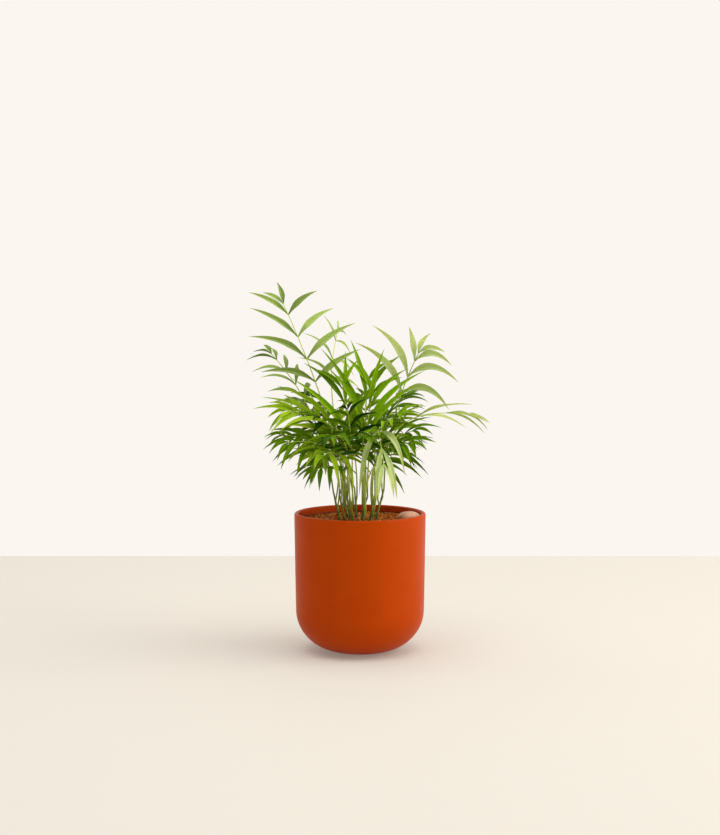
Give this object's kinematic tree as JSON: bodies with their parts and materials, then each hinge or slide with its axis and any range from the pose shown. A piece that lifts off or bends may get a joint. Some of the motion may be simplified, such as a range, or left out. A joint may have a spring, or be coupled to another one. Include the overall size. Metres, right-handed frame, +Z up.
{
  "type": "potted parlour palm",
  "caption": "Young parlour palm, a clump of seedlings with arching feathery fronds, standing in a round-bottomed terracotta-coloured pot.",
  "frame": {"origin": "centre of the pot's flat underside", "axes": "+Z up, -Y the front, +X to the right seen from the front"},
  "size_m": [0.2778, 0.2304, 0.4208],
  "materials": {
    "pot": "satin",
    "potting_soil": "matte",
    "pebble": "matte",
    "stem": "satin",
    "leaf_deep": "satin",
    "leaf_fresh": "satin",
    "leaf_pale": "satin",
    "leaf_olive": "satin"
  },
  "bodies": {
    "root": {"pot": "pot", "potting_soil": "potting_soil", "pebble": "pebble", "stem_01": "stem", "stem_02": "stem", "stem_03": "stem", "stem_04": "stem", "stem_05": "stem", "stem_06": "stem", "stem_07": "stem", "stem_08": "stem", "stem_09": "stem", "stem_10": "stem", "stem_11": "stem", "stem_12": "stem", "frond_01_a": "leaf_fresh", "frond_01_b": "leaf_fresh", "frond_01_c": "leaf_deep", "frond_02_a": "leaf_deep", "frond_02_b": "leaf_fresh", "frond_02_c": "leaf_fresh", "frond_03_a": "leaf_fresh", "frond_03_b": "leaf_deep", "frond_03_c": "leaf_deep", "frond_04_a": "leaf_fresh", "frond_04_b": "leaf_fresh", "frond_04_c": "leaf_deep", "frond_05_a": "leaf_pale", "frond_05_b": "leaf_deep", "frond_05_c": "leaf_fresh", "frond_06_a": "leaf_pale", "frond_06_b": "leaf_deep", "frond_06_c": "leaf_pale", "frond_07_a": "leaf_fresh", "frond_07_b": "leaf_deep", "frond_07_c": "leaf_fresh", "frond_08_a": "leaf_deep", "frond_08_b": "leaf_olive", "frond_08_c": "leaf_fresh", "frond_09_a": "leaf_deep", "frond_09_b": "leaf_fresh", "frond_09_c": "leaf_fresh", "frond_10_a": "leaf_fresh", "frond_10_b": "leaf_deep", "frond_10_c": "leaf_deep", "frond_11_a": "leaf_fresh", "frond_11_b": "leaf_fresh", "frond_11_c": "leaf_deep", "frond_12_a": "leaf_fresh", "frond_12_b": "leaf_deep", "frond_12_c": "leaf_fresh"}
  },
  "joints": []
}
